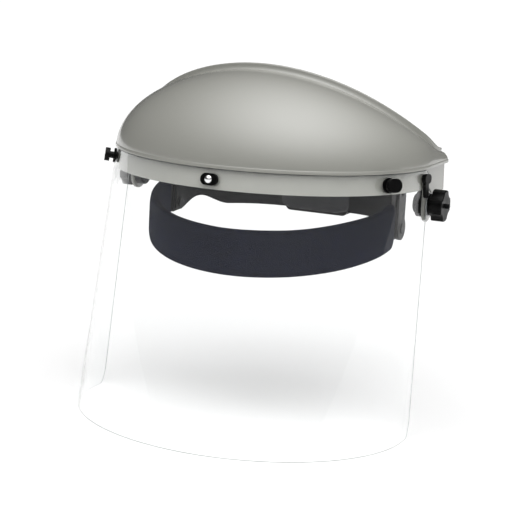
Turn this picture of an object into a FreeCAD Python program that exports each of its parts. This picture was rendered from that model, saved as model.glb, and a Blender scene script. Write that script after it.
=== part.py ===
"""Face shield: clear bent window on a moulded crown, with ratchet headgear on two side pivots.

Millimetres. Front is -Y, the wearer's left is +X, Z is up, and the window's lower edge is at Z = 0.
Every node is written to parts/NODE.step.
"""
import FreeCAD, Part
import math
import os

V = FreeCAD.Vector

# ---- driving sizes ---------------------------------------------------------------------------
SHIFT_Y = -4.0            # brings the middle of the whole object's depth to Y = 0

WALL_H = 203.0            # window height, 8 inches, and the level of the crown's ledge
TOP_A, TOP_B, TOP_Y = 126.0, 113.0, 22.0      # half ellipse of the wall at the ledge
FLARE = 6.0               # how much wider each side is at the floor
BOT_A, BOT_B, BOT_Y = TOP_A + FLARE, 107.0, -23.0     # half ellipse of the wall at the floor
WALL_REAR = TOP_Y + 38.0  # rear end of the straight sides
FRONT_SHARE = 0.78        # share of the wall's run taken by the half ellipse

SHEET = 1.5               # window thickness
WIN_TOP = WALL_H - 2.4    # window's upper edge, just under the ledge
REAR_HIGH, REAR_LOW = TOP_Y - 5.0, BOT_Y + 13.0       # window's slanted rear edge, top and floor
CORNER_Y, CORNER_Z = 6.0, 15.0                # rounded lower rear corner

SKIN = 2.5                # crown wall thickness
BAND_LOW = WALL_H - 17.0  # lower edge of the rim band
BAND_T, BAND_GAP = 2.3, 0.5                   # rim band's thickness, and its gap to the window
BAND_IN = -BAND_GAP - BAND_T
BAND_DROP = 6.0           # how much lower the band's lower edge is behind the window
LEDGE_OUT = SHEET + 1.1   # how far the ledge stands out past the wall
LEDGE_LOW, LEDGE_HIGH = WIN_TOP + 0.6, WIN_TOP + 3.6
ARCH_A, ARCH_REAR, ARCH_FRONT = TOP_A - 2.0, WALL_REAR - 6.0, TOP_Y - 41.2    # rear arch of the dome
ARCH_LOW, ARCH_HIGH = WALL_H + 7.2, WALL_H + 64.3
ARCH_PY, ARCH_PZ = 0.86, 1.436
DOME_N = 1.68             # roundness of the dome's section
LIP_H, LIP_END = 4.4, 0.45                    # upturned lip along the arch, and its share at the ends

STUD_Z, REAR_STUD_Z = BAND_LOW + 7.0, BAND_LOW + 8.5  # levels of the window's studs
TURN_DEG, SLOT_DEG, REAR_DEG = 62.5, 43.5, 84.0       # angles of studs and slots round the wall
NOTCH_DEG = (69.5, 75.0)                      # narrow holes between the side studs
RING_LONG, RING_HIGH = 13.5, 8.6              # oval ring round the front snap

PIVOT_Y, PIVOT_Z = TOP_Y + 3.0, BAND_LOW - 13.0
EAR_T, EAR_R = 2.5, 11.5                      # ear's thickness and half width
EAR_DROP = 2.0                                # how far its rounded end reaches below the pivot
EAR_GAP = 0.4                                 # its outer face to the wall at its narrowest
ARM_T = 3.0
WASH_T = 2.5              # friction washer
ARM_R, ARM_TOP = 10.0, BAND_LOW + 4.5         # arm's rounded end, and the top of its bridge
KNOB_R, KNOB_T, HUB_T = 12.0, 9.5, 3.0
BOLT_R, TIP_R = 3.0, 1.8

RIVET_Y, RIVET_Z = PIVOT_Y + 15.0, PIVOT_Z - 24.0
RING_W = 97.0                                 # headband strip's half width
SIDE_Y0, SIDE_Y1 = RIVET_Y - 16.0, RIVET_Y + 10.0     # straight run at the sides
RING_FRONT = SIDE_Y0 - 89.5                   # front of the headband strip
RING_REAR, RING_FLAT = SIDE_Y1 + 69.0, 24.0   # rear strap: rear face and half flat length
RING_Z, RING_SLOPE = RIVET_Z + 4.0, 0.19      # centre height at the sides, fall to the front
STRIP_T, STRIP_H = 2.0, 23.6
STRAP_T, STRAP_H = 1.6, 22.0
STRAP_ARCH = 8.5          # how far the straps' lower edge arches up beside the arms
PAD_OUT, PAD_IN = 4.0, 6.0                    # sweatband outside and inside the strip
PAD_H = STRIP_H + 14.4
PAD_END = SIDE_Y0 + 4.0
TOP_Z = RING_Z + 97.0     # over-head strap's height
TOP_W = 15.0              # over-head strap's width

CASE_W, CASE_H = RING_FLAT + 4.0, STRAP_H + 4.4       # half width and height of the ratchet case
CASE_Y0, CASE_Y1 = RING_REAR - 7.0, RING_REAR + 5.0
DIAL_R, DIAL_Y1 = 14.5, CASE_Y1 + 15.0
PINION_R, PITCH = 4.4, 2.6

SOLIDS = {}


# ---- helpers ---------------------------------------------------------------------------------
def save(name, shape):
    """Keep one node's shape, moved into the object's own frame."""
    shape = shape.copy()
    shape.translate(V(0, SHIFT_Y, 0))
    SOLIDS[name] = shape


def both_sides(stem, shape):
    """Save a left piece and its mirror image."""
    save(stem + "_left", shape)
    save(stem + "_right", mirrored(shape))


def mirrored(shape):
    return shape.mirror(V(0, 0, 0), V(1, 0, 0))


def span(low, high, count):
    return [low + (high - low) * i / (count - 1.0) for i in range(count)]


def skin(rows):
    """A smooth surface through rows of points."""
    surface = Part.BSplineSurface()
    surface.interpolate(rows)
    return surface


def thick(outer_rows, inner_rows):
    """A closed solid between two matching grids of points."""
    a, b = skin(outer_rows), skin(inner_rows)
    faces = [a.toShape(), b.toShape()]
    ua, ub = a.bounds()[0:2], b.bounds()[0:2]
    va, vb = a.bounds()[2:4], b.bounds()[2:4]
    for i in (0, 1):
        faces.append(Part.makeRuledSurface(a.uIso(ua[i]).toShape(), b.uIso(ub[i]).toShape()))
        faces.append(Part.makeRuledSurface(a.vIso(va[i]).toShape(), b.vIso(vb[i]).toShape()))
    shell = Part.Shell(faces)
    shell.sewShape()
    solid = Part.Solid(shell)
    if solid.Volume < 0:
        solid.reverse()
    return solid


def rod(radius, start, end):
    """A round bar between two points."""
    return Part.makeCylinder(radius, (end - start).Length, start, end - start)


def ring(outer, inner, start, end):
    return rod(outer, start, end).cut(rod(inner, start, end))


def box(x0, x1, y0, y1, z0, z1):
    return Part.makeBox(x1 - x0, y1 - y0, z1 - z0, V(x0, y0, z0))


def placed(shape, origin, out):
    """Move a shape built along +X at the origin so that +X points outward along OUT."""
    angle = math.degrees(math.atan2(out.y, out.x))
    shape = shape.copy()
    shape.rotate(V(0, 0, 0), V(0, 1, 0), -math.degrees(math.asin(out.z)))
    shape.rotate(V(0, 0, 0), V(0, 0, 1), angle)
    shape.translate(origin)
    return shape


def obround(width, height, x0, x1):
    """A bar along X with a rounded oblong section: WIDTH in Y, HEIGHT in Z."""
    r = min(width, height) / 2.0
    half = max(width, height) / 2.0 - r
    if half < 1e-6:
        return rod(r, V(x0, 0, 0), V(x1, 0, 0))
    points = [V(x0, -half, -r), V(x0, half, -r), V(x0, half + r, 0), V(x0, half, r), V(x0, -half, r),
              V(x0, -half - r, 0)]
    edges = [Part.makeLine(points[0], points[1]), Part.Arc(*points[1:4]).toShape(),
             Part.makeLine(points[3], points[4]), Part.Arc(points[4], points[5], points[0]).toShape()]
    bar = Part.Face(Part.Wire(edges)).extrude(V(x1 - x0, 0, 0))
    if height > width:
        bar.rotate(V(0, 0, 0), V(1, 0, 0), 90.0)
    return bar


def ramp(value, start, end):
    """0 up to START, 1 from END, with a smooth rise between."""
    t = min(max((value - start) / (end - start), 0.0), 1.0)
    return t * t * (3.0 - 2.0 * t)


# ---- the wall that the window and the rim band follow ------------------------------------------
def wall_point(s, z, off):
    """Point of the wall at run S (-1 to 1) and height Z, OFF millimetres outside it; and its normal."""
    k = z / WALL_H
    a = BOT_A + (TOP_A - BOT_A) * k
    b = BOT_B + (TOP_B - BOT_B) * k
    yc = BOT_Y + (TOP_Y - BOT_Y) * k
    if abs(s) <= FRONT_SHARE:
        t = s / FRONT_SHARE * math.pi / 2.0
        x, y = a * math.sin(t), yc - b * math.cos(t)
        n = V(x / a ** 2, (y - yc) / b ** 2, 0).normalize()
    else:
        side = 1.0 if s > 0 else -1.0
        x = side * a
        y = yc + (abs(s) - FRONT_SHARE) / (1.0 - FRONT_SHARE) * (WALL_REAR - yc)
        n = V(side, 0, 0)
    return V(x, y, z) + n * off, n


def wall_at(degrees, z):
    """Point of the wall at an angle round it, with the true normal of the leaning wall."""
    s = degrees / 90.0 * FRONT_SHARE
    p = wall_point(s, z, 0.0)[0]
    along = wall_point(s + 0.01, z, 0.0)[0] - wall_point(s - 0.01, z, 0.0)[0]
    up = wall_point(s, z + 1.0, 0.0)[0] - wall_point(s, z - 1.0, 0.0)[0]
    return p, along.cross(up).normalize()


def wall_half(z):
    """Half width of the wall's straight sides at a height."""
    return BOT_A + (TOP_A - BOT_A) * z / WALL_H


def wall_strip(z0, z1, out, inn, columns=61, rows=4, drop=0.0):
    """A strip of the wall's shape between two heights and two offsets; DROP lowers its rear ends."""
    outer, inner = [], []
    for s in span(-1.0, 1.0, columns):
        heights = span(z0 - drop * ramp(abs(s), FRONT_SHARE + 0.01, FRONT_SHARE + 0.09), z1, rows)
        outer.append([wall_point(s, z, out)[0] for z in heights])
        inner.append([wall_point(s, z, inn)[0] for z in heights])
    return thick(outer, inner)


# ---- crown -----------------------------------------------------------------------------------
def arch_point(s):
    t = s * math.pi / 2.0
    h = max(math.cos(t), 0.0)
    return V(ARCH_A * math.sin(t), ARCH_REAR + (ARCH_FRONT - ARCH_REAR) * h ** ARCH_PY,
             ARCH_LOW + (ARCH_HIGH - ARCH_LOW) * h ** ARCH_PZ)


def dome_path(s):
    """Points up one section of the dome, from the ledge over to the tip of the lip."""
    foot = wall_point(s, WALL_H, LEDGE_OUT - 0.4)[0]
    top = arch_point(s)
    points = [V(foot.x, foot.y, WALL_H - 0.7)]
    for v in span(0.0, math.pi / 2.0, 15):
        c = 1.0 - abs(math.cos(v)) ** (2.0 / DOME_N)
        n = abs(math.sin(v)) ** (2.0 / DOME_N)
        points.append(V(foot.x + (top.x - foot.x) * c, foot.y + (top.y - foot.y) * c,
                        foot.z + (top.z - foot.z) * n))
    lip = LIP_H * (1.0 - (1.0 - LIP_END) * ramp(abs(s), 0.8, 1.0))
    for back, up in ((0.24, 0.03), (0.45, 0.14), (0.62, 0.34), (0.74, 0.64), (0.82, 1.0)):
        points.append(top + V(0, back * lip * 0.8, up * lip))
    return points


def dome():
    """The dome with its lip: an outer skin, and an inner one a wall thickness inside it."""
    runs = span(-1.0, 1.0, 49)
    outer = [dome_path(s) for s in runs]
    inner = []
    for i, row in enumerate(outer):
        before, after = outer[max(i - 1, 0)], outer[min(i + 1, len(outer) - 1)]
        line = []
        for j, p in enumerate(row):
            along = after[j] - before[j]
            up = row[min(j + 1, len(row) - 1)] - row[max(j - 1, 0)]
            line.append(p - along.cross(up).normalize() * SKIN)
        inner.append(line)
    return thick(outer, inner)


def ear_face():
    """X of the ear's outer face: just inside the wall where the wall is narrowest along it."""
    return min(wall_half(PIVOT_Z - EAR_DROP - EAR_R), wall_half(WALL_H)) - EAR_GAP


def ear():
    """The plate below the band that the pivot bolt goes through, rooted in the band."""
    x0, x1 = ear_face() - EAR_T, ear_face()
    low, high = PIVOT_Z - EAR_DROP, BAND_LOW + 12.0
    root = min(wall_half(BAND_LOW), wall_half(high)) - BAND_GAP - 0.2
    plate = box(x0, x1, PIVOT_Y - EAR_R, PIVOT_Y + EAR_R, low, high)
    plate = plate.fuse(rod(EAR_R, V(x0, PIVOT_Y, low), V(x1, PIVOT_Y, low)))
    if root > x1:
        plate = plate.fuse(box(x0, root, PIVOT_Y - EAR_R, PIVOT_Y + EAR_R, BAND_LOW + 1.0, high))
    return plate.cut(rod(BOLT_R + 0.1, V(x0 - 5, PIVOT_Y, PIVOT_Z), V(x1 + 5, PIVOT_Y, PIVOT_Z)))


def wall_hole(shape, degrees, z):
    """A cutting shape set through the wall at an angle round it."""
    p, n = wall_at(degrees, z)
    return placed(shape, p, n)


def crown():
    band = wall_strip(BAND_LOW, LEDGE_LOW + 0.8, -BAND_GAP, BAND_IN, drop=BAND_DROP)
    ledge = wall_strip(LEDGE_LOW, LEDGE_HIGH, LEDGE_OUT, BAND_IN - 0.3, rows=3)
    left = ear()
    shape = dome().fuse([band, ledge, left, mirrored(left)])
    cuts = []
    for side in (-1, 1):
        cuts.append(wall_hole(obround(5.4, 5.4, -8, 8), side * TURN_DEG, STUD_Z))
        cuts.append(wall_hole(obround(4.4, 4.4, -8, 8), side * REAR_DEG, REAR_STUD_Z))
    cuts.append(wall_hole(obround(4.2, 4.2, -8, 8), 0.0, STUD_Z))
    return shape.cut(cuts)


# ---- window ----------------------------------------------------------------------------------
def window():
    sheet = wall_strip(0.0, WIN_TOP, SHEET, 0.0, rows=5)
    low_y, y0, above = REAR_LOW - CORNER_Y, -200.0, WIN_TOP + 5.0
    slant = (REAR_HIGH - REAR_LOW) / WIN_TOP
    bend = []
    for a in span(0.0, math.pi / 2.0, 13):
        z = CORNER_Z * (1.0 - math.cos(a))
        bend.append(V(0, low_y + CORNER_Y * math.sin(a) + slant * z, z))
    curve = Part.BSplineCurve()
    curve.interpolate(bend)
    r = 6.0
    top = V(0, REAR_HIGH - slant * r, WIN_TOP - r)
    turned = V(0, REAR_HIGH - r, WIN_TOP)
    middle = V(0, REAR_HIGH - 0.3 * r, WIN_TOP - 0.3 * r)
    corners = [turned, V(0, turned.y, above), V(0, y0, above), V(0, y0, -5), V(0, low_y, -5), bend[0]]
    edges = [curve.toShape(), Part.makeLine(bend[-1], top), Part.Arc(top, middle, turned).toShape()]
    edges += [Part.makeLine(a, b) for a, b in zip(corners, corners[1:])]
    side = Part.Face(Part.Wire(edges)).extrude(V(400, 0, 0))
    side.translate(V(-200, 0, 0))
    sheet = sheet.common(side)
    cuts = [wall_hole(obround(4.6, 4.6, -8, 8), 0.0, STUD_Z)]
    for s in (-1, 1):
        cuts.append(wall_hole(obround(19.0, 8.0, -8, 8), s * SLOT_DEG, STUD_Z))
        cuts.append(wall_hole(obround(15.0, 6.4, -8, 8), s * TURN_DEG, STUD_Z))
        cuts.append(wall_hole(obround(4.8, 4.8, -8, 8), s * REAR_DEG, REAR_STUD_Z))
        for degrees in NOTCH_DEG:
            cuts.append(wall_hole(obround(3.0, 8.0, -8, 8), s * degrees, STUD_Z))
    return sheet.cut(cuts)


# ---- studs that hold the window ----------------------------------------------------------------
def front_stud():
    """Chrome ball snap, black oval ring and the push nut behind the band."""
    p, n = wall_at(0.0, STUD_Z)
    face = SHEET + 1.6
    stud = rod(2.0, V(-6.0, 0, 0), V(face + 0.5, 0, 0))
    stud = stud.fuse(Part.makeSphere(3.2, V(face + 0.6, 0, 0)).common(box(face - 0.2, face + 5, -9, 9, -9, 9)))
    oval = obround(RING_LONG, RING_HIGH, SHEET + 0.05, face - 0.3)
    oval = oval.cut(rod(2.2, V(0, 0, 0), V(9, 0, 0)))
    lift = obround(RING_LONG, RING_HIGH, face - 0.3, face + 0.7)
    lift = lift.cut(obround(RING_LONG - 4.0, RING_HIGH - 1.7, face - 1, face + 2))
    nut = ring(5.0, 2.0, V(BAND_IN - 2.2, 0, 0), V(BAND_IN - 0.15, 0, 0))
    save("front_stud", placed(stud, p, n))
    save("front_ring", placed(oval.fuse(lift), p, n))
    save("front_nut", placed(nut, p, n))


def turn_stud():
    """Turn lock: a flange on the window, a short neck and an oblong head; a washer behind the band."""
    p, n = wall_at(TURN_DEG, STUD_Z)
    stud = rod(2.6, V(-6.5, 0, 0), V(SHEET + 5.0, 0, 0))
    stud = stud.fuse([rod(5.6, V(SHEET + 0.05, 0, 0), V(SHEET + 1.2, 0, 0)),
                      obround(12.5, 10.0, SHEET + 4.2, SHEET + 8.0),
                      rod(3.8, V(-7.3, 0, 0), V(-6.0, 0, 0))])
    washer = ring(6.0, 2.7, V(-5.85, 0, 0), V(BAND_IN - 0.2, 0, 0))
    both_sides("turn_stud", placed(stud.removeSplitter(), p, n))
    both_sides("turn_washer", placed(washer, p, n))


def rear_stud():
    """Push stud at the window's rear edge: a short cross head with a tail, and a washer behind."""
    p, n = wall_at(REAR_DEG, REAR_STUD_Z)
    stud = rod(2.1, V(-4.7, 0, 0), V(SHEET + 1.0, 0, 0))
    head = obround(10.5, 7.0, SHEET + 0.05, SHEET + 3.2)
    tail = obround(5.4, 15.0, SHEET + 0.05, SHEET + 2.2)
    tail.translate(V(0, 0, -7.0))
    washer = ring(3.1, 2.15, V(-4.1, 0, 0), V(BAND_IN - 0.15, 0, 0))
    both_sides("rear_stud", placed(stud.fuse([head, tail]).removeSplitter(), p, n))
    both_sides("rear_washer", placed(washer, p, n))


# ---- pivots ----------------------------------------------------------------------------------
def at_pivot(shape):
    shape = shape.copy()
    shape.translate(V(0, PIVOT_Y, PIVOT_Z))
    return shape


def pivot():
    """Bolt, steel washer, friction washer and the lobed tension knob of one side."""
    ear_out = ear_face()
    ear_in = ear_out - EAR_T
    arm_in = ear_in - WASH_T - ARM_T
    knob_in = ear_out + 1.6
    knob_out = knob_in + HUB_T + KNOB_T
    bolt = rod(BOLT_R, V(arm_in - 1.0, 0, 0), V(knob_out - 2.0, 0, 0))
    tip = rod(TIP_R, V(knob_out - 2.5, 0, 0), V(knob_out + 3.0, 0, 0))
    bolt = bolt.fuse(tip.makeChamfer(0.5, [e for e in tip.Edges if e.CenterOfMass.x > knob_out + 2.9]))
    head = rod(BOLT_R + 4.5, V(arm_in - 2.6, 0, 0), V(arm_in, 0, 0))
    head = head.makeFillet(1.6, [e for e in head.Edges if e.CenterOfMass.x < arm_in - 2.5])
    both_sides("pivot_bolt", at_pivot(bolt.fuse(head)))
    both_sides("pivot_washer", at_pivot(ring(8.6, BOLT_R + 0.1, V(ear_out, 0, 0), V(knob_in - 0.1, 0, 0))))
    both_sides("friction_washer",
               at_pivot(ring(ARM_R, BOLT_R + 0.1, V(ear_in - WASH_T, 0, 0), V(ear_in, 0, 0))))
    body = rod(KNOB_R, V(knob_in + HUB_T, 0, 0), V(knob_out, 0, 0))
    for i in range(4):
        a = math.radians(45 + 90 * i)
        y, z = (KNOB_R + 6.2) * math.cos(a), (KNOB_R + 6.2) * math.sin(a)
        body = body.cut(rod(8.0, V(knob_in, y, z), V(knob_out + 1, y, z)))
    body = body.makeFillet(1.1, [e for e in body.Edges if e.CenterOfMass.x > knob_out - 0.1])
    body = body.fuse(rod(8.2, V(knob_in, 0, 0), V(knob_in + HUB_T + 0.2, 0, 0)))
    body = body.cut([rod(BOLT_R + 0.15, V(knob_in - 1, 0, 0), V(knob_out - 1.8, 0, 0)),
                     rod(TIP_R + 0.15, V(knob_in, 0, 0), V(knob_out + 1, 0, 0))])
    both_sides("tension_knob", at_pivot(body))


def arm():
    """Pivot arm: down from the bridge to the bolt outside, and down to the headband inside."""
    x1 = ear_face() - EAR_T - WASH_T
    x0 = x1 - ARM_T
    foot_in = RING_W + STRIP_T / 2.0 + 0.1
    foot_out = foot_in + ARM_T
    half = 8.0
    plate = hull_plate([(PIVOT_Y, PIVOT_Z, ARM_R), (RIVET_Y - 2.0, ARM_TOP - half, half)], x0, x1)
    plate = plate.fuse(box(x0, x1, RIVET_Y - 2.0 - half, RIVET_Y - 2.0 + half, ARM_TOP - half, ARM_TOP))
    bridge = box(foot_in, x1, RIVET_Y - 2.0 - half, RIVET_Y - 2.0 + half, ARM_TOP - ARM_T, ARM_TOP)
    leg = box(foot_in, foot_out, RIVET_Y - 2.0 - half, RIVET_Y - 2.0 + half, RIVET_Z, ARM_TOP)
    leg = leg.cut(rod(3.4, V(foot_in - 1, RIVET_Y - 2.0, ARM_TOP - 13.0),
                      V(foot_out + 1, RIVET_Y - 2.0, ARM_TOP - 13.0)))
    foot = rod(9.0, V(foot_in, RIVET_Y, RIVET_Z), V(foot_out, RIVET_Y, RIVET_Z))
    rib = box(foot_in + 1.0, x1 - 1.0, RIVET_Y - 3.2, RIVET_Y - 0.8, ARM_TOP - 6.0, ARM_TOP - 2.0)
    shape = plate.fuse([bridge, leg, foot, rib]).removeSplitter()
    shape = shape.cut(rod(BOLT_R + 0.15, V(x0 - 1, PIVOT_Y, PIVOT_Z), V(x1 + 1, PIVOT_Y, PIVOT_Z)))
    shape = shape.cut(rod(2.1, V(foot_in - 1, RIVET_Y, RIVET_Z), V(foot_out + 1, RIVET_Y, RIVET_Z)))
    both_sides("pivot_arm", shape)


def hull_plate(discs, x0, x1):
    """The plate round two discs and the straight sides between them."""
    (y0, z0, r0), (y1, z1, r1) = discs
    d = V(0, y1 - y0, z1 - z0)
    lean = math.acos((r0 - r1) / d.Length)
    base = math.atan2(d.z, d.y)
    corners = []
    for sign in (1, -1):
        a = base + sign * lean
        pair = [V(x0, y0 + r0 * math.cos(a), z0 + r0 * math.sin(a)),
                V(x0, y1 + r1 * math.cos(a), z1 + r1 * math.sin(a))]
        corners += pair if sign > 0 else pair[::-1]
    middle = Part.Face(Part.makePolygon(corners + corners[:1])).extrude(V(x1 - x0, 0, 0))
    ends = [rod(r, V(x0, y, z), V(x1, y, z)) for y, z, r in discs]
    return middle.fuse(ends).removeSplitter()


# ---- headgear ring ---------------------------------------------------------------------------
def front_run(u, off):
    """Front half of the ring: U from -1 to 1, ending in straight sides; offset outward by OFF."""
    turn = 0.86
    if abs(u) <= turn:
        t = u / turn * math.pi / 2.0
        a, b = RING_W, SIDE_Y0 - RING_FRONT
        x, y = a * math.sin(t), SIDE_Y0 - b * math.cos(t)
        n = V(x / a ** 2, (y - SIDE_Y0) / b ** 2, 0).normalize()
    else:
        side = 1.0 if u > 0 else -1.0
        x, y = side * RING_W, SIDE_Y0 + (abs(u) - turn) / (1.0 - turn) * (SIDE_Y1 - SIDE_Y0)
        n = V(side, 0, 0)
    return V(x, y, 0) + n * off


def ring_height(y):
    return RING_Z + RING_SLOPE * min(y - SIDE_Y0, 0.0)


def front_strip(out, inn, height, reach=1.0):
    """A band of the ring's front half between two offsets, centred on the ring's height."""
    outer, inner = [], []
    for u in span(-reach, reach, 49):
        z = ring_height(front_run(u, 0.0).y)
        for rows, off in ((outer, out), (inner, inn)):
            p = front_run(u, off)
            rows.append([V(p.x, p.y, z + h) for h in span(-height / 2.0, height / 2.0, 3)])
    return thick(outer, inner)


def headband():
    """Front strip, and the sweatband that is slipped over it."""
    rivet = [rod(2.1, V(s * (RING_W - 5), RIVET_Y, RIVET_Z), V(s * (RING_W + 5), RIVET_Y, RIVET_Z))
             for s in (-1, 1)]
    save("headband", front_strip(STRIP_T / 2.0, -STRIP_T / 2.0, STRIP_H).cut(rivet))
    reach = 0.86 + 0.14 * (PAD_END - SIDE_Y0) / (SIDE_Y1 - SIDE_Y0)
    pad = front_strip(PAD_OUT, -PAD_IN, PAD_H, reach)
    slot = front_strip(STRIP_T / 2.0 + 0.3, -STRIP_T / 2.0 - 0.3, STRIP_H + 0.6)
    save("sweatband", pad.cut(slot))


def strap_point(u, rear, off):
    """Rear strap of the left side: U from 0 (front end) to 1 (tip of the rack)."""
    wide = RING_W - 2.0
    length = [SIDE_Y1 - (RIVET_Y - 8.0), 110.0, RING_FLAT + 17.0]
    run = u * sum(length)
    if run <= length[0]:
        return V(wide + off, RIVET_Y - 8.0 + run, 0)
    run -= length[0]
    if run <= length[1]:
        t = run / length[1] * math.pi / 2.0
        a, b = wide - RING_FLAT, rear - SIDE_Y1
        x, y = a * math.cos(t), b * math.sin(t)
        n = V(x / a ** 2, y / b ** 2, 0).normalize()
        return V(RING_FLAT + x, SIDE_Y1 + y, 0) + n * off
    run -= length[1]
    return V(RING_FLAT - run, rear + off, 0)


def strap_low(u):
    """Height of a rear strap's lower edge: it arches up between the arm and the broad rear part."""
    start, end = 0.06, 0.43
    rise = STRAP_ARCH * math.sin(math.pi * min(max((u - start) / (end - start), 0.0), 1.0)) ** 2
    return RING_Z - STRAP_H / 2.0 + rise


def rear_strap(rear, rack_up):
    """One rear strap with its rack window; RACK_UP puts the teeth on the upper edge."""
    outer, inner = [], []
    for u in span(0.0, 1.0, 61):
        for rows, off in ((outer, STRAP_T / 2.0), (inner, -STRAP_T / 2.0)):
            p = strap_point(u, rear, off)
            rows.append([V(p.x, p.y, z) for z in span(strap_low(u), RING_Z + STRAP_H / 2.0, 3)])
    strap = thick(outer, inner)
    low, high = -PINION_R - 3.0, PINION_R + 1.4
    points = [(-13.0, low), (RING_FLAT - 4, low), (RING_FLAT - 4, high)]
    count = int((RING_FLAT - 4 + 13.0) / PITCH)
    for i in range(count):
        x = RING_FLAT - 4 - 0.8 - PITCH * i
        points += [(x, high), (x - PITCH / 2.0, high - 1.2), (x - PITCH, high)]
    points += [(-13.0, high)]
    sign = 1.0 if rack_up else -1.0
    line = [V(x, rear - 5, RING_Z + sign * z) for x, z in points]
    hole = Part.Face(Part.makePolygon(line + line[:1])).extrude(V(0, 10, 0))
    rivet = rod(2.1, V(RING_W - 8, RIVET_Y, RIVET_Z), V(RING_W + 5, RIVET_Y, RIVET_Z))
    return strap.cut([hole, rivet])


def straps():
    save("rear_strap_left", rear_strap(RING_REAR, True))
    save("rear_strap_right", mirrored(rear_strap(RING_REAR - STRAP_T - 0.4, False)))
    left = rod(2.0, V(RING_W - 6.0, RIVET_Y, RIVET_Z), V(RING_W + 5.0, RIVET_Y, RIVET_Z))
    left = left.fuse([rod(4.0, V(RING_W - 6.4, RIVET_Y, RIVET_Z), V(RING_W - 4.9, RIVET_Y, RIVET_Z)),
                      rod(4.0, V(RING_W + 4.1, RIVET_Y, RIVET_Z), V(RING_W + 5.2, RIVET_Y, RIVET_Z))])
    both_sides("side_rivet", left.removeSplitter())


# ---- over-head strap -------------------------------------------------------------------------
def top_half(off, tip):
    """Half of the over-head strap: up from the rivet and over, past the middle to X = -TIP."""
    foot_x, thick_t, width = RING_W - 4.0, 1.6, TOP_W
    rise, crest = RING_Z + 24.0, TOP_Z + off
    mid = []
    for z in span(RING_Z - 9.0, rise, 6):
        mid.append((V(foot_x, 0, z), V(1, 0, 0)))
    end = math.pi / 2.0 + math.asin(tip / foot_x)
    for t in span(0.0, end, 30)[1:]:
        a, b = foot_x, crest - rise
        x, z = a * math.cos(t), b * math.sin(t)
        mid.append((V(x, 0, rise + z), V(x / a ** 2, 0, z / b ** 2).normalize()))
    sides = []
    for sign in (0.5, -0.5):
        sides.append([[p + n * (sign * thick_t) + V(0, RIVET_Y + w, 0) for w in (-width / 2.0, 0, width / 2.0)]
                      for p, n in mid])
    return thick(sides[0], sides[1])


def top_straps():
    rivet = rod(2.1, V(RING_W - 9, RIVET_Y, RIVET_Z), V(RING_W + 5, RIVET_Y, RIVET_Z))
    left, right = top_half(2.0, 30.0).cut(rivet), top_half(0.0, 30.0).cut(rivet)
    holes = [rod(2.0, V(x, RIVET_Y, TOP_Z - 12), V(x, RIVET_Y, TOP_Z + 12)) for x in (-20, -10, 0, 10, 20)]
    save("top_strap_left", left.cut(holes))
    save("top_strap_right", mirrored(right.cut(holes)))
    peg = rod(1.9, V(0, RIVET_Y, TOP_Z - 2.0), V(0, RIVET_Y, TOP_Z + 4.0))
    peg = peg.fuse([rod(4.0, V(0, RIVET_Y, TOP_Z + 2.9), V(0, RIVET_Y, TOP_Z + 4.4)),
                    rod(3.0, V(0, RIVET_Y, TOP_Z - 2.2), V(0, RIVET_Y, TOP_Z - 0.9))])
    save("top_peg", peg.removeSplitter())


# ---- ratchet ---------------------------------------------------------------------------------
def rounded_block(half, y0, y1, height, radius):
    block = box(-half, half, y0, y1, RING_Z - height / 2.0, RING_Z + height / 2.0)
    corners = [e for e in block.Edges if abs(e.BoundBox.YLength - (y1 - y0)) < 1e-6
               and e.BoundBox.XLength < 1e-6 and e.BoundBox.ZLength < 1e-6]
    return block.makeFillet(radius, corners)


def ratchet():
    """Case and cover round the rack ends, dial with its shaft, pinion and nape pad."""
    split = CASE_Y1 - 2.6
    case = rounded_block(CASE_W, CASE_Y0, split, CASE_H, 4.5)
    case = case.cut(rounded_block(CASE_W - 1.8, CASE_Y0 + 2.0, split + 1, CASE_H - 3.6, 2.7))
    slot = box(-CASE_W - 2, CASE_W + 2, RING_REAR - 3.6, split + 1,
               RING_Z - STRAP_H / 2.0 - 0.3, RING_Z + STRAP_H / 2.0 + 0.3)
    save("ratchet_case", case.cut(slot))
    cover = rounded_block(CASE_W, split, CASE_Y1, CASE_H, 4.5)
    shaft = rod(3.4, V(0, split - 1, RING_Z), V(0, CASE_Y1 + 1, RING_Z))
    save("ratchet_cover", cover.cut(shaft))
    dial = rod(DIAL_R, V(0, CASE_Y1 + 0.5, RING_Z), V(0, DIAL_Y1, RING_Z))
    dial = dial.makeFillet(1.8, [e for e in dial.Edges if e.CenterOfMass.y > DIAL_Y1 - 0.1])
    for i in range(12):
        a = math.radians(30 * i)
        x, z = (DIAL_R + 1.5) * math.cos(a), (DIAL_R + 1.5) * math.sin(a)
        dial = dial.cut(rod(2.7, V(x, CASE_Y1, RING_Z + z), V(x, DIAL_Y1 + 1, RING_Z + z)))
    dial = dial.cut(ring(DIAL_R - 4.4, 5.2, V(0, CASE_Y1 - 1, RING_Z), V(0, DIAL_Y1 - 2.5, RING_Z)))
    stem = rod(3.2, V(0, split, RING_Z), V(0, CASE_Y1 + 1, RING_Z))
    tip = rod(2.0, V(0, CASE_Y0 + 2.6, RING_Z), V(0, split + 0.1, RING_Z))
    save("ratchet_dial", dial.fuse([stem, tip]))
    gear = ring(PINION_R - 1.0, 2.0, V(0, CASE_Y0 + 3.0, RING_Z), V(0, split - 0.1, RING_Z))
    for i in range(10):
        a = math.radians(36 * i + 18)
        tooth = box(PINION_R - 1.6, PINION_R, CASE_Y0 + 3.0, split - 0.1, -0.55, 0.55)
        tooth.rotate(V(0, 0, 0), V(0, 1, 0), math.degrees(a))
        tooth.translate(V(0, 0, RING_Z))
        gear = gear.fuse(tooth)
    save("pinion", gear.removeSplitter())
    pad = rounded_block(CASE_W + 4.0, CASE_Y0 - 5.0, CASE_Y0, CASE_H - 2.0, 8.0)
    save("nape_pad", pad)


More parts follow.
